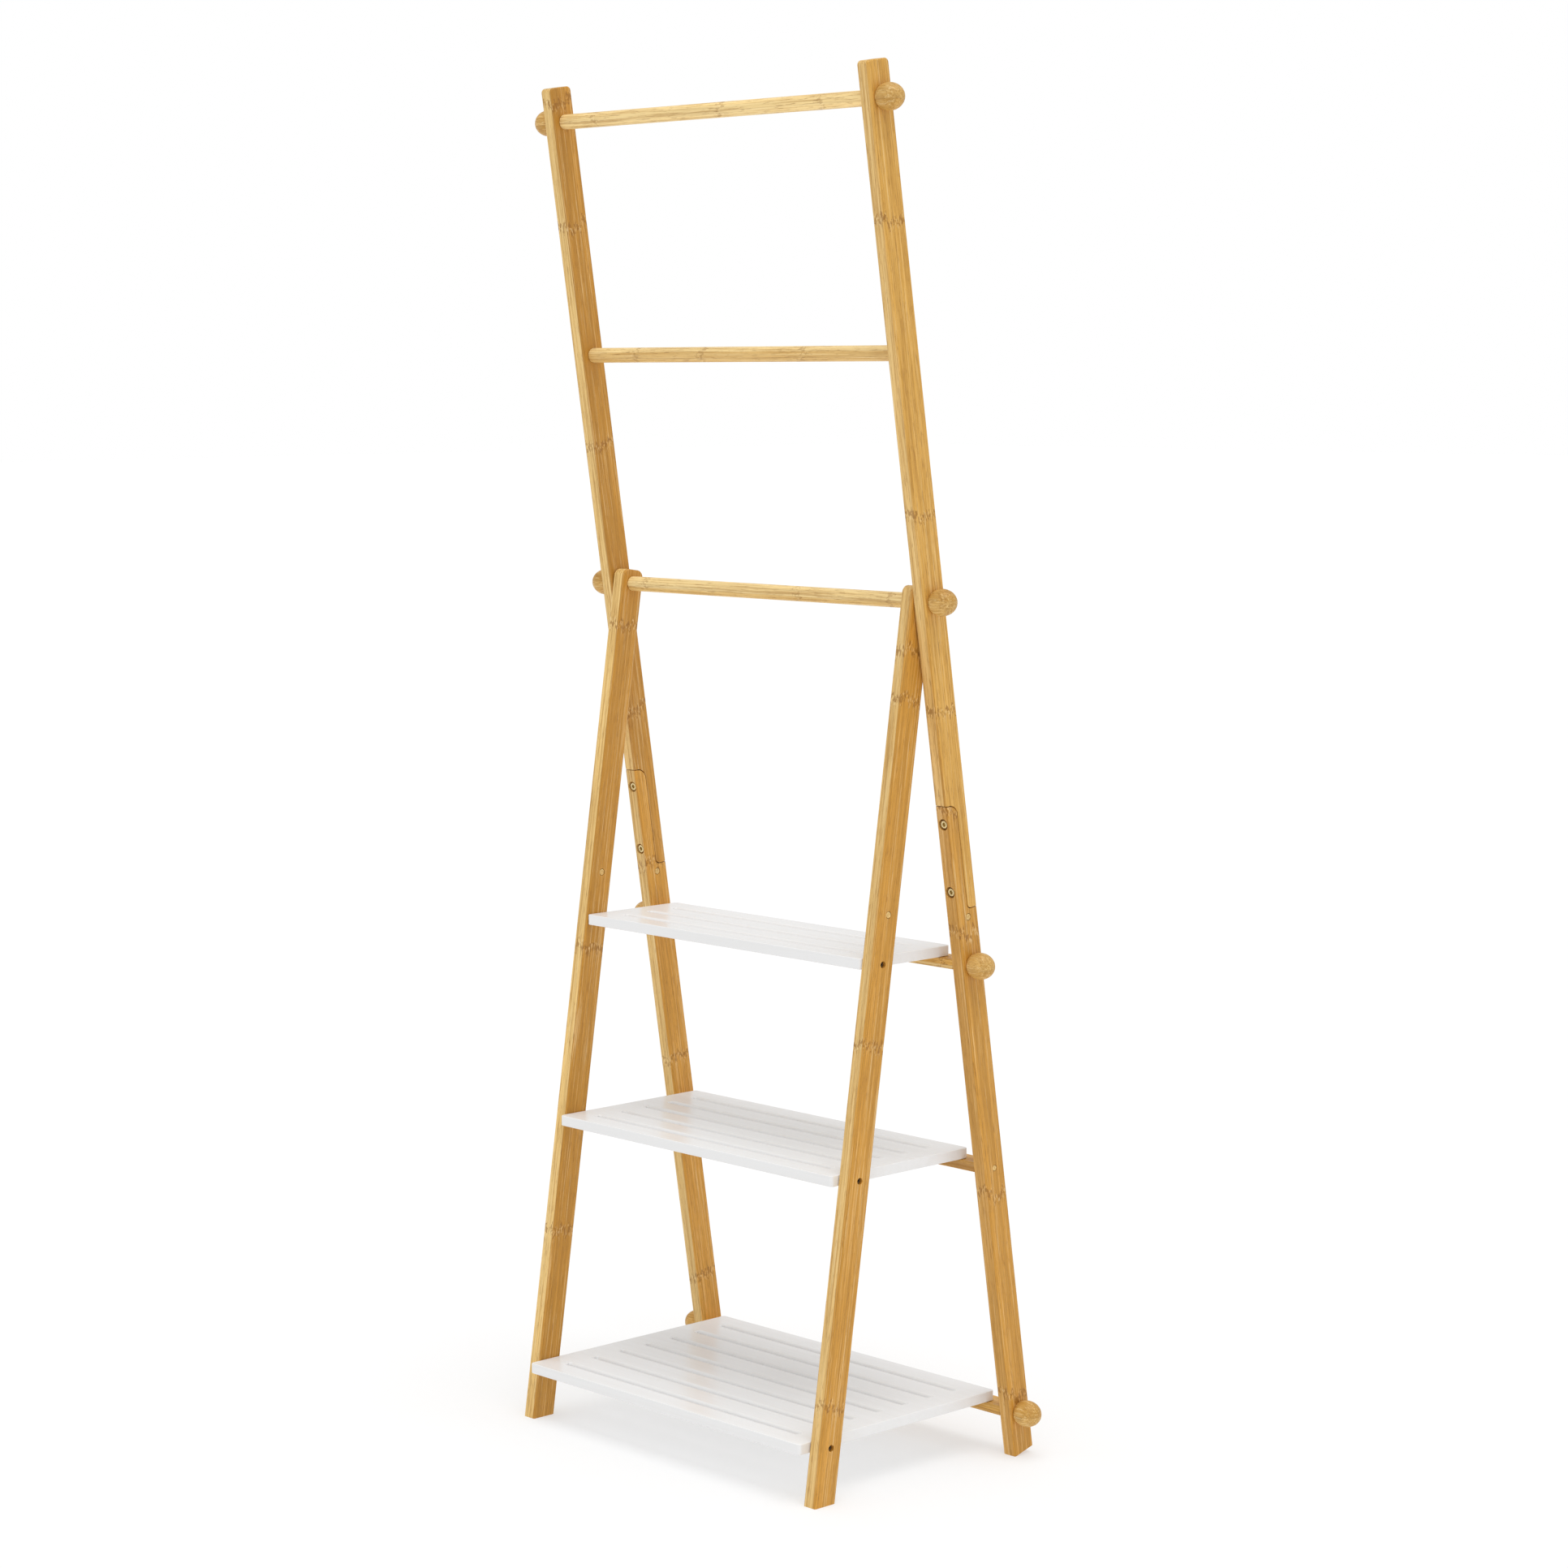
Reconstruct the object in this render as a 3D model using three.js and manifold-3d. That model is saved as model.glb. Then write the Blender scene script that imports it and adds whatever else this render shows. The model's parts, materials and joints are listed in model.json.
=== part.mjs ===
// Folding A-frame towel rack in bamboo: two long uprights with three rails to hang towels on, two front
// legs that swing on the lowest bar, and three slotted white shelves that lift on bolts in the front legs.
// Millimetres, +Z up, +Y to the rear. The origin is on the floor, in the middle of the rack's outline.
import * as THREE from "three";
import { mergeVertices } from "three/addons/utils/BufferGeometryUtils.js";
import Module from "manifold-3d";

const wasm = await Module();
wasm.setup();

// ---- driving dimensions ----
const clear = 0.3; // gap left between pieces that touch
const rackHeight = 1540;
const frameHalfWidth = 265; // to the outer faces of the uprights
const legThick = 18; // every leg is 18 x 30 stock
const legDeep = 30;
const uprightCorner = 5; // rounded corners of the uprights' tops
const frontLegTop = 16.2; // above the pivot
const frontLegCorner = 8.5;
const legGap = 1.6; // between an upright and the front leg beside it, filled by a washer
const lean = Math.atan(0.1521); // of the uprights forwards and of the front legs backwards
const pivotHeight = 970;

const barRadius = 8.5;
const spigotRadius = 6;
const socketDepth = 9;
const middleBarAlong = 268; // from the pivot, along the uprights
const topBarAlong = 535.5;

const shelfThick = 12;
const shelfHalfWidth = 226.5;
const slotWidth = 7;
const slotBand = 28; // plain band along the front and rear edges
const slotEndBand = 31; // plain band at the two ends
const slotCorner = 1;
const shelfCornerRadius = 4;
const shelves = {
  top: { height: 587, front: -75, rear: 64, slots: 3 },
  middle: { height: 355, front: -119, rear: 94, slots: 5 },
  bottom: { height: 68.5, front: -168, rear: 138.5, slots: 7 },
};

const railThick = 11;
const railDeep = 28;
const dowelRadius = 3.2; // glued dowels of the middle rail, flush with the outer faces
const dowelInRail = 22;

const knobRadius = 14.75;
const knobSemiLength = 17.5;
const knobBaseRadius = 12;
const knobHoleDepth = 13;
const studRadius = 2.5;
const studInBar = 22;

const lapTop = -223.5; // where the joint shows on the front face, along the upright
const lapBottom = -341.7; // where it shows on the rear face
const lapTopRadius = 12;
const lapBottomRadius = 6;
const lapBoltAlong = [-244, -320.3];
const lapBoltHead = { radius: 5.2, length: 4.2, sunk: 1.2, socketAcross: 5, socketDeep: 2.6 };
const lapBoltShank = { radius: 3, length: 24 };
const counterboreRadius = 6.3;
const insert = { radius: 4.6, length: 11 };

const shelfBoltHead = { radius: 3.4, length: 3, sunk: 3.2 };
const shelfBoltShank = { radius: 2.4, inShelf: 26 };

const plug = { radius: 3.7, length: 6, uprightAlong: -350.5, legAlong: -339.5 };
const washer = { radius: 12, thick: legGap - 2 * clear };
const footRise = 8; // the rear feet stand on their front edges: the cut rises this much to the rear

const overrun = 1; // how far a cutter reaches past the face it opens
const overlap = 0.1; // how far joined solids reach into each other
const fine = 18; // facets round a bar or knob
const coarse = 10; // facets round a screw
const knobFacets = 14;
const lapSteps = 4; // facets in each rounded corner
const topSteps = 4;

// ---- derived places ----
const sides = { left: -1, right: 1 };
const uprightCentre = frameHalfWidth - legThick / 2;
const legCentre = frameHalfWidth - legThick - legGap - legThick / 2;
const uprightInner = uprightCentre - legThick / 2;
const legInner = legCentre - legThick / 2;
const legOuter = legCentre + legThick / 2;
const sinLean = Math.sin(lean);
const cosLean = Math.cos(lean);
const half = legDeep / 2;
// the highest point is on the rounded rear corner of the leaning upright
const cornerRise = rackHeight - pivotHeight - (half - uprightCorner) * sinLean - uprightCorner;
const uprightTop = cornerRise / cosLean + uprightCorner;
const heightToAlong = (height) => (height - pivotHeight) / cosLean;
const railHeight = (shelf) => shelf.height - shelfThick - clear - railThick / 2;
const boltHeight = (shelf) => shelf.height - shelfThick / 2;

// ---- materials ----
const finish = (color, roughness, metalness = 0) =>
  new THREE.MeshStandardMaterial({ color, roughness, metalness });
const looks = {
  bamboo: () => finish(0xd8a860, 0.5),
  paleBamboo: () => finish(0xe2b972, 0.5),
  whiteLacquer: () => finish(0xf2f2f0, 0.25),
  zinc: () => finish(0xc9c4b4, 0.35, 0.9),
  darkSteel: () => finish(0x4a4038, 0.45, 0.8),
  nylon: () => finish(0xe6e1d5, 0.5),
};

// ---- solids ----
function solidOf(geometry) {
  const bare = geometry.clone();
  bare.deleteAttribute("normal");
  bare.deleteAttribute("uv");
  const merged = mergeVertices(bare, 1e-4);
  return new wasm.Manifold(
    new wasm.Mesh({
      numProp: 3,
      vertProperties: new Float32Array(merged.attributes.position.array),
      triVerts: new Uint32Array(merged.index.array),
    }),
  );
}

function geometryOf(solid) {
  const made = solid.getMesh();
  const geometry = new THREE.BufferGeometry();
  geometry.setAttribute("position", new THREE.BufferAttribute(made.vertProperties, 3));
  geometry.setIndex(new THREE.BufferAttribute(made.triVerts, 1));
  const loose = geometry.toNonIndexed();
  loose.computeVertexNormals();
  return loose;
}

function place(parent, name, solid, look) {
  const mesh = new THREE.Mesh(geometryOf(solid), looks[look]());
  mesh.name = name;
  parent.add(mesh);
  return mesh;
}

// A block between two corners.
function block(low, high) {
  const [sx, sy, sz] = high.map((v, i) => v - low[i]);
  const box = new THREE.BoxGeometry(sx, sy, sz);
  return solidOf(box.translate(low[0] + sx / 2, low[1] + sy / 2, low[2] + sz / 2));
}

// A cylinder along X from x0 to x1, centred on y and z.
function rodX(radius, x0, x1, y, z, facets = coarse) {
  const rod = new THREE.CylinderGeometry(radius, radius, x1 - x0, facets);
  return solidOf(rod.rotateZ(-Math.PI / 2).translate((x0 + x1) / 2, y, z));
}

// A cylinder along Y from y0 to y1, centred on x and z.
function rodY(radius, y0, y1, x, z, facets = coarse) {
  const rod = new THREE.CylinderGeometry(radius, radius, y1 - y0, facets);
  return solidOf(rod.translate(x, (y0 + y1) / 2, z));
}

// A shape drawn in (y, z) and given the thickness of a leg along X, centred on x.
function legPlate(shape, x) {
  const plate = new THREE.ExtrudeGeometry(shape, {
    depth: legThick,
    bevelEnabled: false,
    curveSegments: 6,
  });
  const turn = new THREE.Matrix4().makeBasis(
    new THREE.Vector3(0, 1, 0),
    new THREE.Vector3(0, 0, 1),
    new THREE.Vector3(1, 0, 0),
  );
  return solidOf(plate.applyMatrix4(turn).translate(x - legThick / 2, 0, 0));
}

// A profile of [x, radius] pairs turned round the X axis.
function turned(profile, facets = fine) {
  const points = profile.map(([x, r]) => new THREE.Vector2(r, x));
  return solidOf(new THREE.LatheGeometry(points, facets).rotateZ(-Math.PI / 2));
}

// Two distances from the middle plane, on one side of it, as the lower and the higher x.
function span(sign, a, b) {
  return [sign * a, sign * b].sort((p, q) => p - q);
}

// ---- outlines, in a leg's own frame: y to the rear, z up along the leg, 0 at the pivot ----

// The line of the lap joint, from the front face down to the rear face, moved by half the joint's gap.
function lapLine(shift) {
  const top = lapTop + shift;
  const bottom = lapBottom + shift;
  const upperArc = { y: shift - lapTopRadius, z: top - lapTopRadius };
  const lowerArc = { y: shift + lapBottomRadius, z: bottom + lapBottomRadius };
  const path = new THREE.Path();
  path.moveTo(-half, top);
  path.lineTo(upperArc.y, top);
  path.absarc(upperArc.y, upperArc.z, lapTopRadius, Math.PI / 2, 0, true);
  path.lineTo(shift, lowerArc.z);
  path.absarc(lowerArc.y, lowerArc.z, lapBottomRadius, Math.PI, 1.5 * Math.PI);
  path.lineTo(half, bottom);
  return path.getPoints(lapSteps);
}

// The rounded top of a leg, from its rear face to its front face.
function roundedTop(top, radius) {
  const path = new THREE.Path();
  path.moveTo(half, top - radius);
  path.absarc(half - radius, top - radius, radius, 0, Math.PI / 2);
  path.absarc(radius - half, top - radius, radius, Math.PI / 2, Math.PI);
  return path.getPoints(topSteps);
}

function upperOutline() {
  return new THREE.Shape([...lapLine(clear / 2), ...roundedTop(uprightTop, uprightCorner)]);
}

function lowerOutline() {
  const joint = lapLine(-clear / 2);
  // the front edge of the foot is on the floor; the cut rises to the rear
  const frontFoot = (-pivotHeight + half * sinLean) / cosLean;
  const rearFoot = (-pivotHeight - half * sinLean + footRise) / cosLean;
  return new THREE.Shape([...joint, new THREE.Vector2(half, rearFoot), new THREE.Vector2(-half, frontFoot)]);
}

function frontLegOutline() {
  const frontFoot = (-pivotHeight - half * sinLean) / cosLean;
  const rearFoot = (-pivotHeight + half * sinLean) / cosLean;
  const foot = [new THREE.Vector2(-half, frontFoot), new THREE.Vector2(half, rearFoot)];
  return new THREE.Shape([...foot, ...roundedTop(frontLegTop, frontLegCorner)]);
}

// ---- the rear frame: uprights, bars, rails, knobs and their fixings ----
const rack = new THREE.Group();
const rearFrame = new THREE.Group();
rearFrame.position.z = pivotHeight;
rearFrame.rotation.x = lean;
rack.add(rearFrame);

const knobPlaces = {
  top_bar: topBarAlong,
  pivot_bar: 0,
  top_rail: heightToAlong(railHeight(shelves.top)),
  bottom_rail: heightToAlong(railHeight(shelves.bottom)),
};
const dowelAlong = heightToAlong(railHeight(shelves.middle));

// The plug hole is on the +X face of every leg.
const plugHole = (x, along) => {
  const face = x + legThick / 2;
  return rodX(plug.radius + clear, face - plug.length - clear, face + overrun, 0, along);
};

function makeUprights(side, sign) {
  const x = sign * uprightCentre;
  const reach = legThick / 2 + overrun;
  const studHole = (along) => rodX(studRadius + clear, x - reach, x + reach, 0, along);

  const socketSpan = span(sign, uprightInner - overrun, uprightInner + socketDepth);
  const socket = rodX(spigotRadius + clear, ...socketSpan, 0, middleBarAlong, fine);
  let upper = legPlate(upperOutline(), x)
    .subtract(studHole(knobPlaces.top_bar))
    .subtract(studHole(knobPlaces.pivot_bar))
    .subtract(socket);
  let lower = legPlate(lowerOutline(), x)
    .subtract(studHole(knobPlaces.top_rail))
    .subtract(studHole(knobPlaces.bottom_rail))
    .subtract(rodX(dowelRadius + clear, x - reach, x + reach, 0, dowelAlong))
    .subtract(plugHole(x, plug.uprightAlong));
  const headRoom = lapBoltHead.sunk + lapBoltHead.length + clear;
  for (const along of lapBoltAlong) {
    lower = lower
      .subtract(rodY(counterboreRadius, -half - overrun, -half + headRoom, x, along, fine))
      .subtract(rodY(lapBoltShank.radius + clear, -half, overrun, x, along));
    upper = upper.subtract(rodY(insert.radius + clear, -overrun, insert.length + 2 * clear, x, along));
  }
  place(rearFrame, `upright_upper_${side}`, upper, "bamboo");
  place(rearFrame, `upright_lower_${side}`, lower, "bamboo");
}

function makeLapFixings(side, sign) {
  const x = sign * uprightCentre;
  lapBoltAlong.forEach((along, i) => {
    const which = ["upper", "lower"][i];
    const headFront = -half + lapBoltHead.sunk;
    const headRear = headFront + lapBoltHead.length;
    const hexRadius = lapBoltHead.socketAcross / Math.sqrt(3);
    const bolt = rodY(lapBoltHead.radius, headFront, headRear, x, along, fine)
      .add(rodY(lapBoltShank.radius, headRear - overlap, headFront + lapBoltShank.length, x, along))
      .subtract(rodY(hexRadius, headFront - overrun, headFront + lapBoltHead.socketDeep, x, along, 6));
    place(rearFrame, `lap_bolt_${which}_${side}`, bolt, "zinc");
    const sleeve = rodY(insert.radius, clear, insert.length, x, along).subtract(
      rodY(lapBoltShank.radius + clear, -overrun, insert.length + overrun, x, along),
    );
    place(rearFrame, `lap_insert_${which}_${side}`, sleeve, "zinc");
  });
}

// Ball knob: an ellipse turned round X, cut flat where its radius is the base's, with a blind hole.
function makeKnob(name, sign, along) {
  const base = frameHalfWidth + clear;
  const centre = base + knobSemiLength * Math.sqrt(1 - (knobBaseRadius / knobRadius) ** 2);
  const start = Math.PI - Math.asin(knobBaseRadius / knobRadius);
  const holeRadius = studRadius + clear;
  const steps = 7;
  const profile = [[base + knobHoleDepth, 0], [base + knobHoleDepth, holeRadius], [base, holeRadius]];
  for (let i = 0; i < steps; i++) {
    const turn = start * (1 - i / steps);
    profile.push([centre + knobSemiLength * Math.cos(turn), knobRadius * Math.sin(turn)]);
  }
  profile.push([centre + knobSemiLength, 0]);
  const knob = turned(profile, knobFacets);
  const mesh = place(rearFrame, name, knob, "bamboo");
  mesh.rotation.y = sign > 0 ? 0 : Math.PI;
  mesh.position.z = along;
}

const barEnd = uprightInner - clear;
const studBore = studInBar + clear;

// Double-ended screw through the upright, from the knob into the end of a bar or rail.
function makeStud(name, sign, along) {
  const ends = span(sign, barEnd - studInBar, frameHalfWidth + knobHoleDepth - clear);
  place(rearFrame, name, rodX(studRadius, ...ends, 0, along), "darkSteel");
}

function makeBars() {
  const boreRadius = studRadius + clear;
  const endBore = (along) =>
    rodX(boreRadius, -barEnd - overrun, -barEnd + studBore, 0, along).add(
      rodX(boreRadius, barEnd - studBore, barEnd + overrun, 0, along),
    );
  const topBar = rodX(barRadius, -barEnd, barEnd, 0, topBarAlong, fine).subtract(endBore(topBarAlong));
  place(rearFrame, "top_bar", topBar, "paleBamboo");

  const spigotEnd = uprightInner + socketDepth - clear;
  const middleBar = rodX(barRadius, -barEnd, barEnd, 0, middleBarAlong, fine).add(
    rodX(spigotRadius, -spigotEnd, spigotEnd, 0, middleBarAlong, fine),
  );
  place(rearFrame, "middle_bar", middleBar, "paleBamboo");

  // the lowest bar carries the front legs on its two turned ends
  const shoulder = legInner - clear;
  const pivotBar = rodX(barRadius, -shoulder, shoulder, 0, 0, fine)
    .add(rodX(spigotRadius, -barEnd, barEnd, 0, 0, fine))
    .subtract(endBore(0));
  place(rearFrame, "pivot_bar", pivotBar, "paleBamboo");
}

// A rail lies level behind the front face of the uprights, under the rear edge of its shelf.
function makeRail(level) {
  const along = heightToAlong(railHeight(shelves[level]));
  const radius = (level === "middle" ? dowelRadius : studRadius) + clear;
  const depth = (level === "middle" ? dowelInRail : studInBar) + clear;
  const rail = block([-barEnd, -railDeep / 2, -railThick / 2], [barEnd, railDeep / 2, railThick / 2])
    .subtract(rodX(radius, -barEnd - overrun, -barEnd + depth, 0, 0))
    .subtract(rodX(radius, barEnd - depth, barEnd + overrun, 0, 0));
  const mesh = place(rearFrame, `rail_${level}`, rail, "bamboo");
  mesh.position.z = along;
  mesh.rotation.x = -lean;
}

for (const [side, sign] of Object.entries(sides)) {
  makeUprights(side, sign);
  makeLapFixings(side, sign);
  for (const [where, along] of Object.entries(knobPlaces)) {
    makeKnob(`knob_${where}_${side}`, sign, along);
    makeStud(`stud_${where}_${side}`, sign, along);
  }
  const dowel = rodX(dowelRadius, ...span(sign, barEnd - dowelInRail, frameHalfWidth - clear), 0, dowelAlong);
  place(rearFrame, `rail_dowel_${side}`, dowel, "paleBamboo");
  const face = sign * uprightCentre + legThick / 2;
  const plugPin = rodX(plug.radius, face - plug.length, face - clear / 2, 0, plug.uprightAlong);
  place(rearFrame, `upright_plug_${side}`, plugPin, "paleBamboo");
}
makeBars();
Object.keys(shelves).forEach(makeRail);

// ---- the front frame: two legs, their plugs and the bolts that carry the shelves ----
const frontFrame = new THREE.Group();
frontFrame.position.z = pivotHeight;
frontFrame.rotation.x = -lean;
rack.add(frontFrame);

function makeFrontLeg(side, sign) {
  const x = sign * legCentre;
  const reach = legThick / 2 + overrun;
  let leg = legPlate(frontLegOutline(), x)
    .subtract(rodX(spigotRadius + clear, x - reach, x + reach, 0, 0, fine))
    .subtract(plugHole(x, plug.legAlong));
  for (const [level, shelf] of Object.entries(shelves)) {
    const along = heightToAlong(boltHeight(shelf));
    const headRoom = shelfBoltHead.sunk + shelfBoltHead.length + clear;
    const mouth = span(sign, legOuter - headRoom, legOuter + overrun);
    leg = leg
      .subtract(rodX(shelfBoltHead.radius + clear, ...mouth, 0, along))
      .subtract(rodX(shelfBoltShank.radius + clear, x - reach, x + reach, 0, along));
    const headOut = legOuter - shelfBoltHead.sunk;
    const headIn = headOut - shelfBoltHead.length;
    const shank = span(sign, headIn + overlap, shelfHalfWidth - shelfBoltShank.inShelf);
    const bolt = rodX(shelfBoltHead.radius, ...span(sign, headIn, headOut), 0, along).add(
      rodX(shelfBoltShank.radius, ...shank, 0, along),
    );
    place(frontFrame, `shelf_bolt_${level}_${side}`, bolt, "darkSteel");
  }
  place(frontFrame, `front_leg_${side}`, leg, "bamboo");
  const face = x + legThick / 2;
  const plugPin = rodX(plug.radius, face - plug.length, face - clear / 2, 0, plug.legAlong);
  place(frontFrame, `front_leg_plug_${side}`, plugPin, "paleBamboo");
  const [discLow, discHigh] = span(sign, legOuter + clear, legOuter + clear + washer.thick);
  const disc = rodX(washer.radius, discLow, discHigh, 0, 0, fine).subtract(
    rodX(spigotRadius + clear, discLow - overrun, discHigh + overrun, 0, 0, fine),
  );
  place(frontFrame, `pivot_washer_${side}`, disc, "nylon");
}

for (const [side, sign] of Object.entries(sides)) makeFrontLeg(side, sign);

// ---- the shelves: one board each, with long slots closed at both ends ----
function roundedRectangle(target, x0, y0, x1, y1, radius) {
  target.moveTo(x0 + radius, y0);
  target.lineTo(x1 - radius, y0);
  target.absarc(x1 - radius, y0 + radius, radius, -Math.PI / 2, 0);
  target.lineTo(x1, y1 - radius);
  target.absarc(x1 - radius, y1 - radius, radius, 0, Math.PI / 2);
  target.lineTo(x0 + radius, y1);
  target.absarc(x0 + radius, y1 - radius, radius, Math.PI / 2, Math.PI);
  target.lineTo(x0, y0 + radius);
  target.absarc(x0 + radius, y0 + radius, radius, Math.PI, 1.5 * Math.PI);
  return target;
}

function makeShelf(level) {
  const { height, front, rear, slots } = shelves[level];
  const outline = new THREE.Shape();
  roundedRectangle(outline, -shelfHalfWidth, front, shelfHalfWidth, rear, shelfCornerRadius);
  const slotEnd = shelfHalfWidth - slotEndBand;
  const pitch = (rear - front - 2 * slotBand - slotWidth) / (slots - 1);
  for (let i = 0; i < slots; i++) {
    const y = front + slotBand + i * pitch;
    outline.holes.push(roundedRectangle(new THREE.Path(), -slotEnd, y, slotEnd, y + slotWidth, slotCorner));
  }
  const board = new THREE.ExtrudeGeometry(outline, {
    depth: shelfThick,
    bevelEnabled: false,
    curveSegments: 2,
  }).translate(0, 0, height - shelfThick);
  const z = boltHeight(shelves[level]);
  const y = heightToAlong(z) * sinLean;
  const bore = shelfBoltShank.radius + clear;
  const depth = shelfBoltShank.inShelf + clear;
  const solid = solidOf(board)
    .subtract(rodX(bore, -shelfHalfWidth - overrun, -shelfHalfWidth + depth, y, z))
    .subtract(rodX(bore, shelfHalfWidth - depth, shelfHalfWidth + overrun, y, z));
  place(rack, `shelf_${level}`, solid, "whiteLacquer");
}

Object.keys(shelves).forEach(makeShelf);

// ---- the origin: the middle of the outline, front to rear ----
rack.updateMatrixWorld(true);
const outline = new THREE.Box3().setFromObject(rack, true);
rack.position.y = -(outline.min.y + outline.max.y) / 2;

export default rack;
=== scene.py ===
# A folding bamboo towel rack with three white slotted shelves: its fine surfaces, finishes and studio.
import json
import math

import bpy
import numpy as np
from mathutils import Matrix, Vector


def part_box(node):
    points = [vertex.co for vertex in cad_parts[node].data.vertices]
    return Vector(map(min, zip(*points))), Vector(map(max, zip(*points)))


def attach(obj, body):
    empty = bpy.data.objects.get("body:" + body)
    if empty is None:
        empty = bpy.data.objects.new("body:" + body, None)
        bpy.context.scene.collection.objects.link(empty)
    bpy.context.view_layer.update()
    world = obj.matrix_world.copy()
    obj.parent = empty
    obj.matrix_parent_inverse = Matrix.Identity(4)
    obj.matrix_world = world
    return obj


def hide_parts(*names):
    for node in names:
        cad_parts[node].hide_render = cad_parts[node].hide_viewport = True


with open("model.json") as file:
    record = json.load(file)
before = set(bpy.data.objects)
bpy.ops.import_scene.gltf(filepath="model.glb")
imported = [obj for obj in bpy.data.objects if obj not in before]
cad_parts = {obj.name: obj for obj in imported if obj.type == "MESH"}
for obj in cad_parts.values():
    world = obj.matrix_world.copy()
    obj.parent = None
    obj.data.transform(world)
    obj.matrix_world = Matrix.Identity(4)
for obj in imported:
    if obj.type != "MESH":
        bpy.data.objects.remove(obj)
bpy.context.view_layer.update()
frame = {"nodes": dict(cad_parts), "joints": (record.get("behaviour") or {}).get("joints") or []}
scene = bpy.context.scene
print("frame loaded with", len(frame["nodes"]), "nodes")

sides = {"Left": -1, "Right": 1}
levels = ("Top", "Middle", "Bottom")
clear = 0.0003  # gap that the pieces keep where they meet
tiny = 1e-7  # a ring smaller than this is a point

fold = next(joint for joint in frame["joints"] if joint["name"] == "frame_fold")
pivot = np.array(fold["pos_m"], float)
topBarPlace = (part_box("top_bar")[0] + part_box("top_bar")[1]) / 2
lean = math.atan2(pivot[1] - topBarPlace.y, topBarPlace.z - pivot[2])
leanOf = {"rear": lean, "front": -lean}


# The turn from a leg's own frame to the rack's: x across, y to the rear, z up along the leg, 0 at the pivot.
def legTurn(which):
    return Matrix.Translation(Vector(pivot)) @ Matrix.Rotation(leanOf[which], 4, "X")


# Lowest and highest corner of a CAD node in a leg's own frame.
def legBox(node, which):
    mesh = frame["nodes"][node].data
    points = np.empty(len(mesh.vertices) * 3)
    mesh.vertices.foreach_get("co", points)
    back = np.array(legTurn(which).inverted())
    own = points.reshape(-1, 3) @ back[:3, :3].T + back[:3, 3]
    return own.min(0), own.max(0)


def legCentre(node, which):
    low, high = legBox(node, which)
    return (low + high) / 2


# Corners joined by straight sides, each corner rounded by an arc that touches both of its sides.
def roundedOutline(corners, radii, steps=8, closed=True):
    corners = np.array(corners, float)
    share = np.linspace(0, 1, steps + 1)[:, None]
    made = []
    for i, radius in enumerate(radii):
        isEnd = not closed and i in (0, len(radii) - 1)
        if radius == 0 or isEnd:
            made.append(corners[i][None])
            continue
        before = corners[i - 1] - corners[i]
        after = corners[(i + 1) % len(corners)] - corners[i]
        before /= np.linalg.norm(before)
        after /= np.linalg.norm(after)
        halfAngle = math.acos(before @ after) / 2
        sweep = math.pi - 2 * halfAngle
        middle = (before + after) / np.linalg.norm(before + after)
        centre = corners[i] + middle * radius / math.sin(halfAngle)
        start = corners[i] + before * radius / math.tan(halfAngle) - centre
        end = corners[i] + after * radius / math.tan(halfAngle) - centre
        arc = (np.sin((1 - share) * sweep) * start + np.sin(share * sweep) * end) / math.sin(sweep)
        made.append(centre + arc)
    return np.vstack(made)


def makePiece(name, points, faces):
    mesh = bpy.data.meshes.new(name)
    mesh.from_pydata(points, [], faces)
    mesh.update()
    piece = bpy.data.objects.new(name, mesh)
    scene.collection.objects.link(piece)
    return piece


# Rings of points one after another, each closed round, joined by four-sided faces. A ring that has shrunk
# to a point is one pole; any other end ring is closed by a single flat face.
def skin(name, rings):
    rings = np.array(rings, float)
    count, around = rings.shape[:2]
    startPole = np.ptp(rings[0], axis=0).max() < tiny
    endPole = np.ptp(rings[-1], axis=0).max() < tiny
    body = rings[int(startPole):count - int(endPole)]
    points = [body.reshape(-1, 3)]
    i = np.arange(around)
    after = (i + 1) % around
    row = (np.arange(len(body) - 1) * around)[:, None]
    quads = np.stack((row + i, row + after, row + around + after, row + around + i), axis=-1)
    faces = quads.reshape(-1, 4).tolist()
    last = (len(body) - 1) * around
    spare = len(body) * around
    if startPole:
        points.append(rings[0][:1])
        faces += np.stack((i * 0 + spare, after, i), axis=-1).tolist()
        spare += 1
    else:
        faces.append(i[::-1].tolist())
    if endPole:
        points.append(rings[-1][:1])
        faces += np.stack((i * 0 + spare, last + i, last + after), axis=-1).tolist()
    else:
        faces.append((last + i).tolist())
    return makePiece(name, np.vstack(points).tolist(), faces)


# Rings whose section closes on itself: the last ring of points is the first one again.
def ringSkin(name, rings):
    around = rings.shape[1]
    body = rings[:-1]
    i = np.arange(around)
    after = (i + 1) % around
    row = np.arange(len(body))[:, None] * around
    nextRow = (row + around) % (len(body) * around)
    quads = np.stack((row + i, row + after, nextRow + after, nextRow + i), axis=-1)
    return makePiece(name, body.reshape(-1, 3).tolist(), quads.reshape(-1, 4).tolist())


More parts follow.
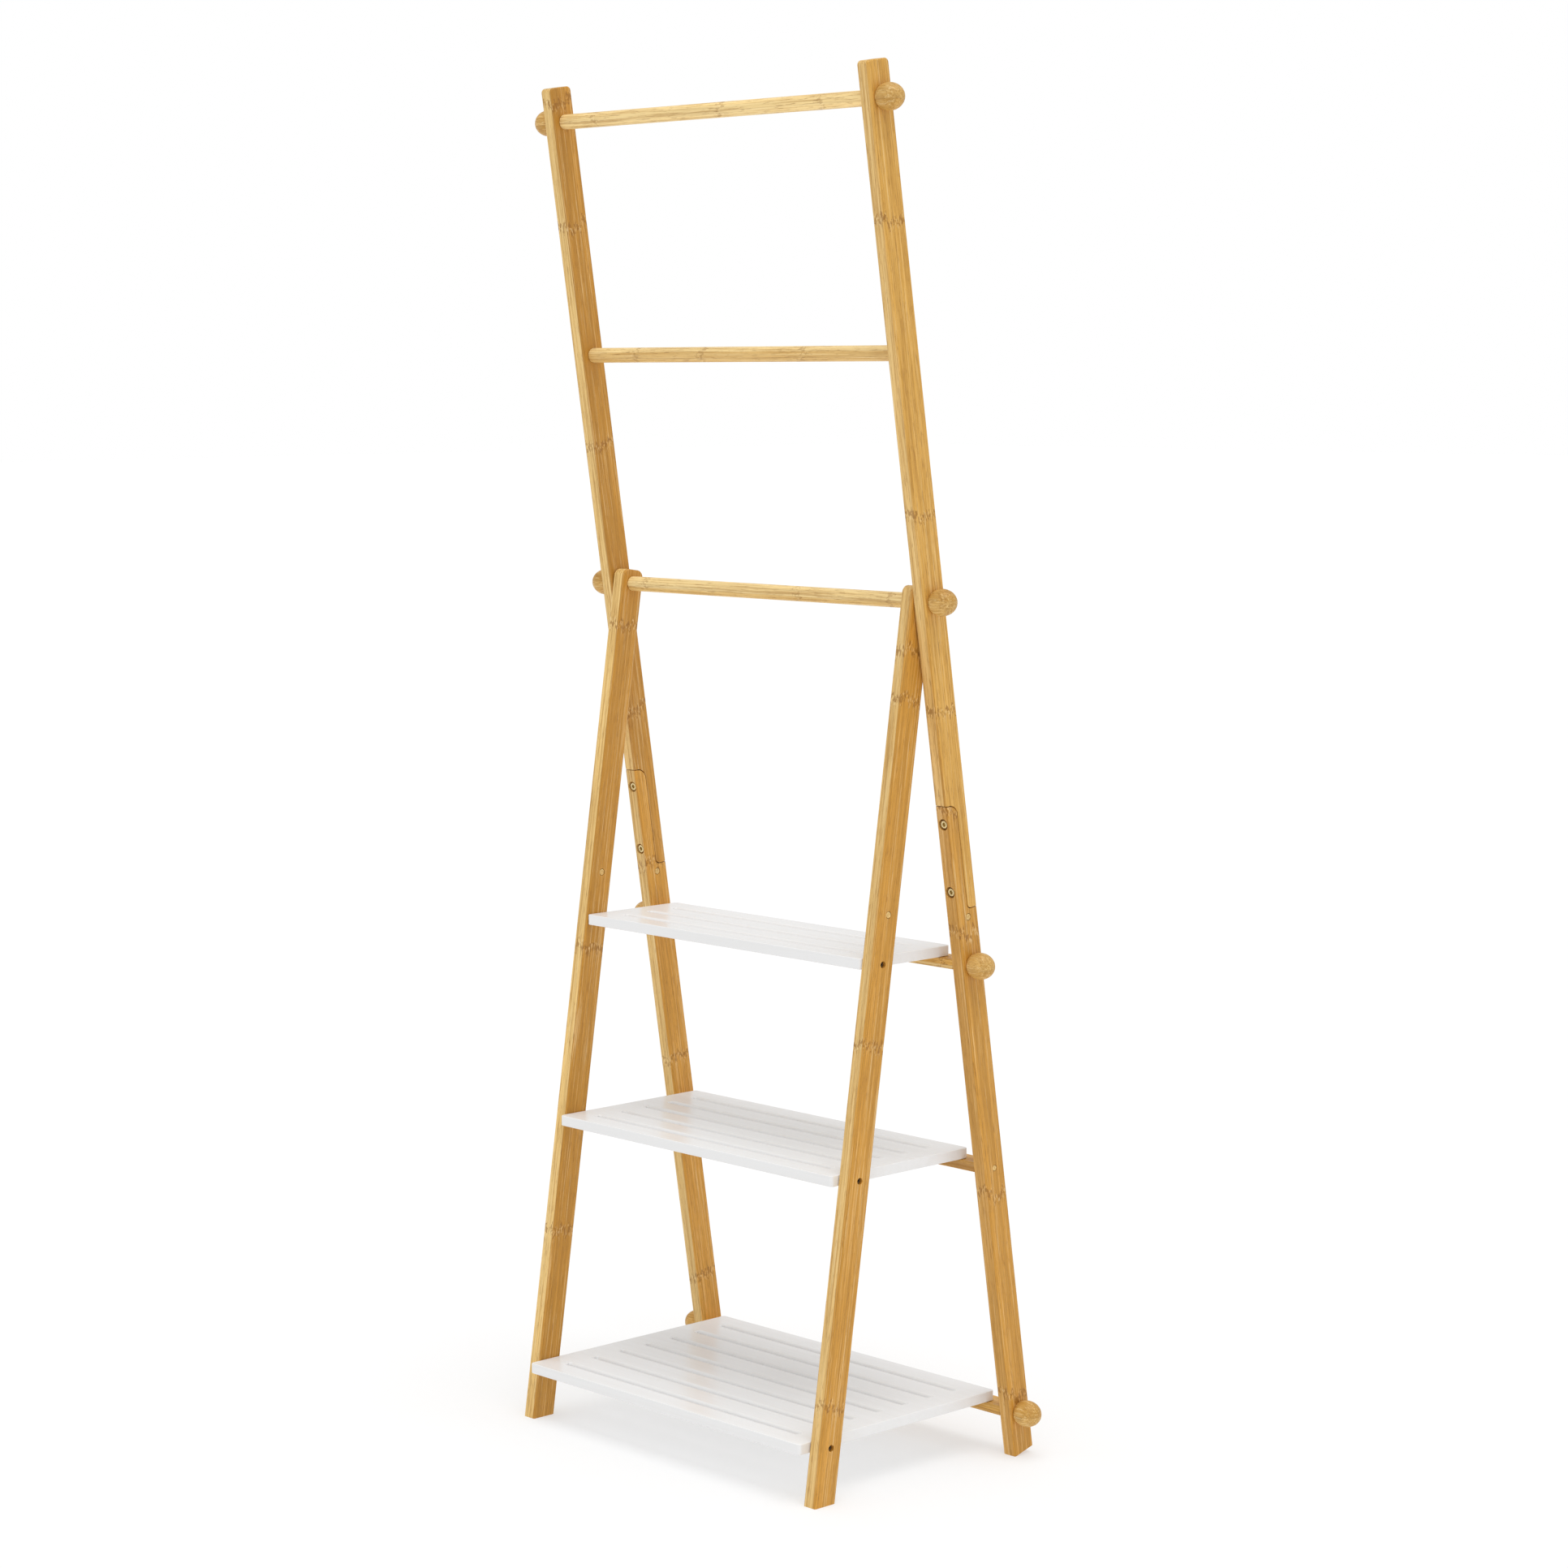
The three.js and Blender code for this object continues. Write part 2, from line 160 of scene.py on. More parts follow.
# A flat plate: an outline in (y, z), anticlockwise, carried along x from low to high. At each face it is
# drawn in by r (1 - sin a) while x moves by r (1 - cos a), a quarter round of radius r.
def plateRings(outline, low, high, roundover, steps=5):
    ahead = np.roll(outline, -1, 0) - outline
    side = np.column_stack((ahead[:, 1], -ahead[:, 0]))
    side /= np.linalg.norm(side, axis=1)[:, None]
    outward = side + np.roll(side, 1, 0)
    outward *= 2 / (outward ** 2).sum(1)[:, None]
    turn = np.linspace(0, math.pi / 2, steps + 1)
    inset = roundover * (1 - np.sin(turn))
    lift = roundover * (1 - np.cos(turn))
    insets = np.concatenate((inset, inset[::-1]))
    x = np.concatenate((low + lift, high - lift[::-1]))
    flat = outline[None] - insets[:, None, None] * outward[None]
    return np.dstack((np.broadcast_to(x[:, None], flat.shape[:2]), flat))


# A turned shape: pairs of (place along x, radius), carried round the x axis: (x, r cos a, r sin a).
# A share of hexagon in a pair bends its circle towards six flats: r cos 30 / cos of the angle from a flat.
def turnedRings(profile, segments=48, hexagon=None):
    profile = np.array(profile, float)
    angle = np.arange(segments) * 2 * math.pi / segments
    sixth = math.pi / 3
    flats = math.cos(sixth / 2) / np.cos(angle % sixth - sixth / 2)
    share = np.zeros(len(profile)) if hexagon is None else np.array(hexagon, float)
    radius = profile[:, 1:] * (1 + share[:, None] * (flats[None] - 1))
    x = np.broadcast_to(profile[:, :1], radius.shape)
    return np.dstack((x, radius * np.cos(angle), radius * np.sin(angle)))


# A cutter for a round hole along x from its mouth to its end: its edge flares out at the mouth by a
# quarter round, so the hole's edge is softened.
def holeRings(mouth, end, radius, flare=0.0, segments=48):
    way = 1 if end > mouth else -1
    beyond = mouth - way * 0.002
    early = 0.02  # share of the flare by which the lip starts outside the face
    turn = np.linspace(0, math.pi / 2, 5)
    lipX = mouth + way * flare * (np.sin(turn) - early)
    lipRadius = radius + flare * (1 - np.cos(turn[::-1]))
    lip = np.column_stack((lipX, lipRadius)) if flare else np.zeros((0, 2))
    widest = radius + flare
    profile = np.vstack(([[beyond, 0], [beyond, widest]], lip, [[end, radius], [end, 0]]))
    return turnedRings(profile if way > 0 else profile[::-1], segments)


def moved(rings, x=0.0, y=0.0, z=0.0):
    return rings + np.array((x, y, z))


# x becomes y, for holes and bolts that go from front to rear
def alongY(rings):
    return np.dstack((-rings[..., 1], rings[..., 0], rings[..., 2]))


# x becomes z, for plates that lie flat
def alongZ(rings):
    return np.dstack((rings[..., 1], rings[..., 2], rings[..., 0]))


# Puts what a piece's modifiers make into its mesh.
def settle(piece):
    graph = bpy.context.evaluated_depsgraph_get()
    made = bpy.data.meshes.new_from_object(piece.evaluated_get(graph))
    piece.modifiers.clear()
    old = piece.data
    piece.data = made
    bpy.data.meshes.remove(old)
    made.name = piece.name


def carve(piece, cutters):
    tools = [skin("cutter", rings) for rings in cutters]
    for tool in tools:
        cut = piece.modifiers.new("cut", "BOOLEAN")
        cut.operation = "DIFFERENCE"
        cut.solver = "EXACT"
        cut.object = tool
    settle(piece)
    for tool in tools:
        mesh = tool.data
        bpy.data.objects.remove(tool)
        bpy.data.meshes.remove(mesh)


shading = {"bevelFrom": 50, "sharpFrom": 32}  # degrees between two faces


# Softens the cut edges, then shades curved stretches smoothly and flat ones flat.
def smoothShade(piece, soften=0.0):
    if soften:
        bevel = piece.modifiers.new("soften", "BEVEL")
        bevel.width = soften
        bevel.segments = 2
        bevel.limit_method = "ANGLE"
        bevel.angle_limit = math.radians(shading["bevelFrom"])
        settle(piece)
    mesh = piece.data
    mesh.polygons.foreach_set("use_smooth", np.ones(len(mesh.polygons), bool))
    mesh.set_sharp_from_angle(angle=math.radians(shading["sharpFrom"]))
    weighted = piece.modifiers.new("flat faces flat", "WEIGHTED_NORMAL")
    weighted.keep_sharp = True
    settle(piece)


def finishPiece(piece, body, node, material):
    piece.data.materials.clear()
    piece.data.materials.append(material)
    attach(piece, body)
    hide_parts(node)


# Adds a node, sets its settings, and links or sets its inputs.
def addNode(tree, kind, inputs=None, **settings):
    node = tree.nodes.new(kind)
    for key, value in settings.items():
        setattr(node, key, value)
    for key, value in (inputs or {}).items():
        if isinstance(value, bpy.types.NodeSocket):
            tree.links.new(value, node.inputs[key])
        else:
            node.inputs[key].default_value = value
    return node


def calc(tree, operation, a, b=0.0, c=0.0, clamp=False):
    node = addNode(tree, "ShaderNodeMath", {0: a, 1: b, 2: c}, operation=operation, use_clamp=clamp)
    return node.outputs[0]


def noise(tree, place, stretch, detail=3.0, roughness=0.55, distortion=0.0):
    scaled = addNode(tree, "ShaderNodeVectorMath", {0: place, 1: stretch}, operation="MULTIPLY")
    texture = addNode(
        tree, "ShaderNodeTexNoise",
        {"Vector": scaled.outputs[0], "Scale": 1.0, "Detail": detail, "Roughness": roughness,
         "Distortion": distortion},
    )
    return texture.outputs[0]


# value from low to high becomes 0 to 1, held inside
def rise(tree, value, low, high):
    inputs = {"Value": value, "From Min": low, "From Max": high}
    return addNode(tree, "ShaderNodeMapRange", inputs, interpolation_type="SMOOTHSTEP").outputs[0]


# a mix of two colours: the node's colour sockets are inputs 6 and 7 and output 2
def blendColour(tree, share, a, b, mode="MIX"):
    node = addNode(tree, "ShaderNodeMix", data_type="RGBA", blend_type=mode)
    for socket, value in ((node.inputs[0], share), (node.inputs[6], a), (node.inputs[7], b)):
        if isinstance(value, bpy.types.NodeSocket):
            tree.links.new(value, socket)
        else:
            socket.default_value = value
    return node.outputs[2]


def newMaterial(name):
    material = bpy.data.materials.new(name)
    material.use_nodes = True
    return material, material.node_tree, material.node_tree.nodes["Principled BSDF"]


# The piece's own place in millimetres, centred on it and turned so that z runs along its grain.
def ownPlace(tree, turn, centre):
    toPiece = Matrix.Rotation(-turn[1], 3, turn[0])
    shift = -(toPiece @ (Vector(centre) * 1000))
    angles = [-turn[1] if axis == turn[0] else 0.0 for axis in "XYZ"]
    coordinates = addNode(tree, "ShaderNodeTexCoord")
    mapping = addNode(
        tree, "ShaderNodeMapping",
        {"Vector": coordinates.outputs["Object"], "Location": shift, "Rotation": angles,
         "Scale": (1000, 1000, 1000)},
    )
    return mapping.outputs[0]


bamboo = {
    "stripWidth": 10.4,  # laminated strips, mm
    "layerShift": 0.37,  # share of a strip by which the second layer's strips are moved
    "seedShift": 0.731,
    "culm": (90, 70, 900),  # how far apart the strips' own stretches of culm may lie, mm
    "stripLine": (0.488, 0.497),  # share of a strip from its middle where the glue line begins and is full
    "seamLine": (0.05, 0.22),  # mm from the seam where its line is full and ends
    "nodeSpread": 11.0,  # how far the rings of neighbouring strips stand apart, mm
    "ringCore": 2.0,  # full strength this far from its height, mm
    "ringBelow": 14.0,  # gone this far below it
    "ringAbove": 5.0,
    "pith": (0.29, 0.115, 0.014, 1),  # the colour of fibre ends and rings
    "sap": (0.44, 0.205, 0.032, 1),  # the colour of the wider streaks
    "pale": (1.0, 0.78, 0.42, 1),
    "seamColour": (0.30, 0.14, 0.035, 1),
    "streakRange": (0.47, 0.64),  # the noise values where streaks begin and are full
    "dashRange": (0.56, 0.66),
    "paleRange": (0.34, 0.48),
    "spotRange": (0.66, 0.75),
    "betweenRange": (0.36, 0.46),
    "streakShare": 0.62,
    "dashShare": 0.50,
    "paleShare": 0.38,
    "seamShare": 0.5,
    "stripTone": (0.16, 0.92),  # times the strip's chance, plus the rest
    "broadTone": (0.50, 0.75),
    "ringShare": 0.68,
    "ringPale": 0.40,
    "ringReach": 0.20,  # how much more of the noise is let through at a ring's height
    "ringFill": 4.0,  # how fast the spots reach full strength inside the band
    "ringWander": 30.0,  # how far a ring's height wanders in all, mm
    "dashRelief": 0.5,
    "bump": 0.35,
    "bumpDepth": 0.00012,
    "roughness": (0.12, 0.46),
    "specular": 0.38,
}


# Streaks, dashes and strips of laminated bamboo at a place in millimetres with its grain along z.
def makeGrainGroup():
    tree = bpy.data.node_groups.new("bambooGrain", "ShaderNodeTree")
    tree.interface.new_socket(name="place", in_out="INPUT", socket_type="NodeSocketVector")
    for name in ("seed", "seam"):
        tree.interface.new_socket(name=name, in_out="INPUT", socket_type="NodeSocketFloat")
    outputs = ("layer", "strip", "seamLine", "broad", "streaks", "dashes", "speckles")
    for name in outputs:
        tree.interface.new_socket(name=name, in_out="OUTPUT", socket_type="NodeSocketFloat")
    given = addNode(tree, "NodeGroupInput")
    place, seed, seam = given.outputs["place"], given.outputs["seed"], given.outputs["seam"]
    x, y = addNode(tree, "ShaderNodeSeparateXYZ", {0: place}).outputs[:2]
    layer = calc(tree, "GREATER_THAN", x, seam)
    start = calc(tree, "MULTIPLY", seed, bamboo["seedShift"])
    shifted = calc(tree, "MULTIPLY_ADD", layer, bamboo["layerShift"], start)
    across = calc(tree, "MULTIPLY_ADD", y, 1 / bamboo["stripWidth"], shifted)
    strip = calc(tree, "FLOOR", across)
    key = addNode(tree, "ShaderNodeCombineXYZ", {0: strip, 1: layer, 2: seed})
    chance = addNode(tree, "ShaderNodeTexWhiteNoise", {"Vector": key.outputs[0]}, noise_dimensions="3D")
    # every strip is cut from its own stretch of culm
    inputs = {0: chance.outputs["Color"], 1: bamboo["culm"], 2: place}
    own = addNode(tree, "ShaderNodeVectorMath", inputs, operation="MULTIPLY_ADD").outputs[0]
    stripEdge = calc(tree, "ABSOLUTE", calc(tree, "SUBTRACT", calc(tree, "FRACT", across), 0.5))
    stripLine = rise(tree, stripEdge, *bamboo["stripLine"])
    seamGap = calc(tree, "ABSOLUTE", calc(tree, "SUBTRACT", x, seam))
    seamLine = calc(tree, "SUBTRACT", 1.0, rise(tree, seamGap, *bamboo["seamLine"]))
    made = {
        "layer": layer,
        "strip": chance.outputs["Value"],
        "seamLine": calc(tree, "MAXIMUM", stripLine, seamLine),
        "broad": noise(tree, own, (0.22, 0.22, 0.005), 2.0),
        "streaks": noise(tree, own, (0.50, 0.50, 0.008), 5.0, 0.72),
        "dashes": noise(tree, own, (0.95, 0.95, 0.060), 3.0, 0.6),
        "speckles": noise(tree, own, (0.46, 0.46, 0.17), 3.0, 0.6, 0.4),
    }
    result = addNode(tree, "NodeGroupOutput")
    for name in outputs:
        tree.links.new(made[name], result.inputs[name])
    return tree


# One growth ring: 1 at its height, falling to 0 a little above and further below it; the height itself
# wanders with a noise and jumps up or down from strip to strip.
def makeRingGroup():
    tree = bpy.data.node_groups.new("bambooRing", "ShaderNodeTree")
    tree.interface.new_socket(name="place", in_out="INPUT", socket_type="NodeSocketVector")
    for name in ("strip", "height"):
        tree.interface.new_socket(name=name, in_out="INPUT", socket_type="NodeSocketFloat")
    tree.interface.new_socket(name="band", in_out="OUTPUT", socket_type="NodeSocketFloat")
    given = addNode(tree, "NodeGroupInput")
    place = given.outputs["place"]
    z = addNode(tree, "ShaderNodeSeparateXYZ", {0: place}).outputs[2]
    spread, wide = bamboo["nodeSpread"], bamboo["ringWander"]
    wander = calc(tree, "MULTIPLY_ADD", noise(tree, place, (0.26, 0.26, 0.02), 2.0), wide, -wide / 2)
    moveUp = calc(tree, "MULTIPLY_ADD", given.outputs["strip"], spread, -spread / 2)
    away = calc(tree, "SUBTRACT", calc(tree, "SUBTRACT", z, given.outputs["height"]), moveUp)
    away = calc(tree, "ADD", away, wander)
    down = calc(tree, "MULTIPLY", away, -1.0)
    below = calc(tree, "SUBTRACT", 1.0, rise(tree, down, bamboo["ringCore"], bamboo["ringBelow"]))
    above = calc(tree, "SUBTRACT", 1.0, rise(tree, away, bamboo["ringCore"], bamboo["ringAbove"]))
    result = addNode(tree, "NodeGroupOutput")
    tree.links.new(calc(tree, "MULTIPLY", below, above), result.inputs["band"])
    return tree


grainGroup = makeGrainGroup()
ringGroup = makeRingGroup()


# Growth rings on a piece. Round each ring's height the spots of a noise are pulled towards pith, the places
# between them towards pale; returns the new colour and how high the spots stand.
def paintRings(tree, look, place, grain, colour):
    band = None
    for height in look["rings"]:
        ring = addNode(tree, "ShaderNodeGroup", {}, node_tree=ringGroup)
        tree.links.new(place, ring.inputs["place"])
        tree.links.new(grain["strip"], ring.inputs["strip"])
        ring.inputs["height"].default_value = height
        band = ring.outputs[0] if band is None else calc(tree, "MAXIMUM", band, ring.outputs[0])
    reach = calc(tree, "MULTIPLY_ADD", band, bamboo["ringReach"], grain["speckles"])
    inside = calc(tree, "MULTIPLY", band, bamboo["ringFill"], clamp=True)
    spots = calc(tree, "MULTIPLY", rise(tree, reach, *bamboo["spotRange"]), inside)
    power = look.get("ringPower", 1.0)
    between = calc(tree, "SUBTRACT", 1.0, rise(tree, grain["speckles"], *bamboo["betweenRange"]))
    paleShare = calc(tree, "MULTIPLY", calc(tree, "MULTIPLY", between, band), bamboo["ringPale"] * power)
    colour = blendColour(tree, paleShare, colour, bamboo["pale"])
    share = calc(tree, "MULTIPLY", spots, bamboo["ringShare"] * power)
    return blendColour(tree, share, colour, bamboo["pith"]), spots


# Bamboo for one piece. Two glued layers, each of its own tone, are multiplied by a chance per strip and a
# slow noise; streaks pull them towards sap, the gaps between streaks towards pale, and short dashes
# towards pith. The growth rings lie over them.
def makeBamboo(name, look, turn, centre):
    material, tree, shader = newMaterial(name)
    place = ownPlace(tree, turn, centre)
    group = addNode(tree, "ShaderNodeGroup", {}, node_tree=grainGroup)
    tree.links.new(place, group.inputs["place"])
    group.inputs["seed"].default_value = look["seed"]
    group.inputs["seam"].default_value = look["seam"]
    grain = group.outputs
    colour = blendColour(tree, grain["layer"], (*look["tones"][0], 1), (*look["tones"][1], 1))
    stripTone = calc(tree, "MULTIPLY_ADD", grain["strip"], *bamboo["stripTone"])
    broadTone = calc(tree, "MULTIPLY_ADD", grain["broad"], *bamboo["broadTone"])
    tone = calc(tree, "MULTIPLY", stripTone, broadTone)
    grey = addNode(tree, "ShaderNodeCombineXYZ", {0: tone, 1: tone, 2: tone}).outputs[0]
    colour = blendColour(tree, 1.0, colour, grey, "MULTIPLY")
    streak = rise(tree, grain["streaks"], *bamboo["streakRange"])
    dash = rise(tree, grain["dashes"], *bamboo["dashRange"])
    gap = calc(tree, "SUBTRACT", 1.0, rise(tree, grain["streaks"], *bamboo["paleRange"]))
    colour = blendColour(tree, calc(tree, "MULTIPLY", streak, bamboo["streakShare"]), colour, bamboo["sap"])
    colour = blendColour(tree, calc(tree, "MULTIPLY", gap, bamboo["paleShare"]), colour, bamboo["pale"])
    colour = blendColour(tree, calc(tree, "MULTIPLY", dash, bamboo["dashShare"]), colour, bamboo["pith"])
    relief = calc(tree, "MULTIPLY_ADD", dash, bamboo["dashRelief"], streak)
    if look["rings"]:
        colour, spots = paintRings(tree, look, place, grain, colour)
        relief = calc(tree, "ADD", spots, relief)
    seamShare = calc(tree, "MULTIPLY", grain["seamLine"], bamboo["seamShare"])
    colour = blendColour(tree, seamShare, colour, bamboo["seamColour"])
    tree.links.new(colour, shader.inputs["Base Color"])
    roughness = calc(tree, "MULTIPLY_ADD", streak, *bamboo["roughness"])
    tree.links.new(roughness, shader.inputs["Roughness"])
    inputs = {"Height": relief, "Strength": bamboo["bump"], "Distance": bamboo["bumpDepth"]}
    bump = addNode(tree, "ShaderNodeBump", inputs, invert=True)
    tree.links.new(bump.outputs[0], shader.inputs["Normal"])
    shader.inputs["Specular IOR Level"].default_value = bamboo["specular"]
    return material


lacquerLook = {
    "colour": (0.88, 0.88, 0.88, 1),
    "thin": (0.86, 0.858, 0.854, 1),
    "thinRange": (0.35, 0.75),
    "roughness": (0.08, 0.20),  # times the sheen noise, plus the rest
    "specular": 0.22,
}


# White lacquer: the coat is a little thinner where a noise stretched along the board is high, and its
# sheen changes slowly from place to place.
def makeLacquer(look):
    material, tree, shader = newMaterial("whiteLacquer")
    place = ownPlace(tree, ("Y", math.radians(-90)), (0, 0, 0))
    trace = noise(tree, place, (0.12, 0.12, 0.004), 3.0)
    sheen = noise(tree, place, (0.02, 0.02, 0.02), 1.0)
    colour = blendColour(tree, rise(tree, trace, *look["thinRange"]), look["colour"], look["thin"])
    tree.links.new(colour, shader.inputs["Base Color"])
    tree.links.new(calc(tree, "MULTIPLY_ADD", sheen, *look["roughness"]), shader.inputs["Roughness"])
    shader.inputs["Specular IOR Level"].default_value = look["specular"]
    return material


zincLook = {"colour": (0.80, 0.66, 0.36, 1), "worn": (0.62, 0.50, 0.26, 1), "roughness": (0.25, 0.26)}
steelLook = {"colour": (0.16, 0.12, 0.08, 1), "worn": (0.30, 0.24, 0.16, 1), "roughness": (0.25, 0.30)}


# Metal: worn patches in the colour and fine turning marks in the roughness.
def makeMetal(name, look):
    material, tree, shader = newMaterial(name)
    place = ownPlace(tree, ("X", 0.0), (0, 0, 0))
    fine = noise(tree, place, (3.0, 0.6, 3.0), 3.0)
    patches = noise(tree, place, (0.5, 0.5, 0.5), 2.0)
    mixed = blendColour(tree, rise(tree, patches, 0.4, 0.7), look["colour"], look["worn"])
    tree.links.new(mixed, shader.inputs["Base Color"])
    tree.links.new(calc(tree, "MULTIPLY_ADD", fine, *look["roughness"]), shader.inputs["Roughness"])
    shader.inputs["Metallic"].default_value = 1.0
    return material


nylonLook = {"dark": (0.74, 0.70, 0.62, 1), "pale": (0.80, 0.77, 0.70, 1), "roughness": (0.2, 0.4)}


# Nylon: a dull moulded plastic with a fine grain.
def makeNylon(look):
    material, tree, shader = newMaterial("nylon")
    place = ownPlace(tree, ("X", 0.0), (0, 0, 0))
    grain = noise(tree, place, (1.6, 1.6, 1.6), 3.0)
    tree.links.new(blendColour(tree, grain, look["dark"], look["pale"]), shader.inputs["Base Color"])
    tree.links.new(calc(tree, "MULTIPLY_ADD", grain, *look["roughness"]), shader.inputs["Roughness"])
    return material


lacquer = makeLacquer(lacquerLook)
zinc = makeMetal("zincPlate", zincLook)
darkSteel = makeMetal("darkSteel", steelLook)
nylon = makeNylon(nylonLook)
print("finishes ready")

# tones of the glued layers, from the palest to the darkest
cream = (0.90, 0.67, 0.30)
straw = (0.81, 0.54, 0.19)
honey = (0.78, 0.51, 0.18)
amber = (0.73, 0.40, 0.078)
umber = (0.61, 0.325, 0.072)
toffee = (0.65, 0.315, 0.042)
caramel = (0.555, 0.26, 0.032)

# seam: where the two layers meet, rings: where growth rings lie along the piece, in mm from its middle
# (along a leg from the pivot)
legLooks = {
    "uprightUpperLeft": {
        "seed": 3.0, "seam": 6.4, "tones": (straw, caramel), "rings": (421, 167, 560, -150),
    },
    "uprightUpperRight": {"seed": 8.0, "seam": 4.6, "tones": (honey, amber), "rings": (409, 94, -120)},
    "uprightLowerLeft": {"seed": 14.0, "seam": 6.3, "tones": (straw, toffee), "rings": (-340, -585, -861)},
    "uprightLowerRight": {
        "seed": 21.0, "seam": 6.6, "tones": (umber, toffee), "rings": (-228, -365, -666, -905),
    },
    "frontLegLeft": {"seed": 29.0, "seam": 6.2, "tones": (straw, caramel), "rings": (-50, -429, -763)},
    "frontLegRight": {
        "seed": 37.0, "seam": 5.0, "tones": (honey, toffee), "rings": (-53, -105, -480, -870),
    },
}
leg = {
    "edgeRound": 0.0018,
    "topRound": 0.005,  # corners of the uprights' tops
    "frontTopRound": 0.0085,
    "lapRoundTop": 0.012,
    "lapRoundBottom": 0.006,
    "lapGap": 0.0004,  # from the joint's line to each half
    "footRise": 0.008,  # the rear feet's cut rises to the rear
    "cutEdge": 0.00045,
    "beyond": 0.03,  # stock left over each end before it is cut
    "studHole": 0.0028,
    "boltHole": 0.0033,
    "counterbore": 0.0063,
    "counterboreDepth": 0.0057,
    "insertHole": 0.0049,
    "insertDepth": 0.0116,
    "socketHole": 0.0063,
    "socketDeep": 0.009,
    "plugHole": 0.0040,
    "plugDeep": 0.0063,
    "dowelHole": 0.0035,
    "shelfBoltMouth": 0.0037,
    "shelfBoltMouthDeep": 0.0065,
    "shelfBoltHole": 0.0027,
    "shelfBoltHoleFrom": 0.004,  # it starts inside its mouth
    "mouthRound": 0.0004,  # round at the mouth of a bolt's hole
    "socketRound": 0.0003,
    "overshoot": 0.003,  # how far cutters pass a face or each other
    "overlap": 0.001,  # the same at the lap joint's middle
    "cutHalf": 0.02,  # half the width of the blocks that cut a leg's ends
    "cutterEdge": 0.0001,
    "cutDown": 2.0,  # how far down the foot's block reaches
    "lapReach": 0.12,  # how far the lap joint's block reaches past the joint
}


# A cutter wider than a leg, from its outline seen along x.
def blockRings(outline, x):
    return plateRings(outline, x - leg["cutHalf"], x + leg["cutHalf"], leg["cutterEdge"], 1)


# A block on one side of the lap joint's line, which goes from the front face to the rear face: across,
# down the middle, across again. The shift moves the line to the rear and up, which leaves a gap.
def lapCutter(at, shift, keepUpper):
    out = at["half"] + leg["beyond"]
    low, high = at["lapBottom"] + shift, at["lapTop"] + shift
    far = at["lapBottom"] - leg["lapReach"] if keepUpper else at["lapTop"] + leg["lapReach"]
    corners = [(shift - out, high), (shift, high), (shift, low), (shift + out, low), (out, far), (-out, far)]
    outline = roundedOutline(corners, [0, leg["lapRoundTop"], leg["lapRoundBottom"], 0, 0, 0])
    return blockRings(outline[::-1] if keepUpper else outline, at["x"])


# A block below a line from (y0, z0) to (y1, z1), in the leg's own frame.
def footCutter(y0, z0, y1, z1, x):
    slope = (z1 - z0) / (y1 - y0)
    out = y1 + leg["beyond"]
    down = -leg["cutDown"]
    corners = [(-out, down), (out, down), (out, z1 + slope * (out - y1)), (-out, z0 - slope * (out + y0))]
    return blockRings(np.array(corners), x)


def acrossHole(at, along, radius):
    reach = at["halfX"] + leg["overshoot"]
    return moved(holeRings(at["x"] - reach, at["x"] + reach, radius), z=along)


def plugHole(at, along):
    face = at["x"] + at["halfX"]
    return moved(holeRings(face, face - leg["plugDeep"], leg["plugHole"]), z=along)


def finishLeg(made, body, node, which, at):
    made.data.transform(legTurn(which))
    smoothShade(made, leg["cutEdge"])
    centre = Vector(pivot) + Vector((at["x"], 0, 0))
    material = makeBamboo(made.name + "Bamboo", legLooks[made.name], ("X", leanOf[which]), centre)
    finishPiece(made, body, node, material)


# Where a leg stands and how thick it is, from its CAD node, in the leg's own frame.
def legStock(node, which):
    low, high = legBox(node, which)
    return {
        "low": low[0], "high": high[0], "bottom": low[2], "top": high[2],
        "x": (low[0] + high[0]) / 2, "halfX": (high[0] - low[0]) / 2, "half": (high[1] - low[1]) / 2,
    }


def uprightStock(tag):
    at = legStock(f"upright_upper_{tag}", "rear")
    at["lapBottom"] = at["bottom"] - clear / 2
    at["lapTop"] = legBox(f"upright_lower_{tag}", "rear")[1][2] + clear / 2
    at["bolts"] = [legCentre(f"lap_bolt_{which}_{tag}", "rear")[2] for which in ("upper", "lower")]
    return at


def studHoles(at, tag, places):
    alongs = [legCentre(f"stud_{where}_{tag}", "rear")[2] for where in places]
    return [acrossHole(at, along, leg["studHole"]) for along in alongs]


def makeUpperUpright(side, sign):
    tag = side.lower()
    at = uprightStock(tag)
    half, end = at["half"], at["lapBottom"] - leg["beyond"]
    stock = [(-half, at["top"]), (-half, end), (half, end), (half, at["top"])]
    outline = roundedOutline(stock, [leg["topRound"], 0, 0, leg["topRound"]])
    made = skin(f"uprightUpper{side}", plateRings(outline, at["low"], at["high"], leg["edgeRound"]))
    inner = at["x"] - sign * at["halfX"]
    socket = holeRings(inner, inner + sign * leg["socketDeep"], leg["socketHole"], leg["socketRound"])
    cutters = [lapCutter(at, leg["lapGap"], True)]
    cutters += studHoles(at, tag, ("top_bar", "pivot_bar"))
    cutters.append(moved(socket, z=legCentre("middle_bar", "rear")[2]))
    insert = alongY(holeRings(-leg["overlap"], leg["insertDepth"], leg["insertHole"]))
    cutters += [moved(insert, x=at["x"], z=along) for along in at["bolts"]]
    carve(made, cutters)
    finishLeg(made, "rear_frame", f"upright_upper_{tag}", "rear", at)


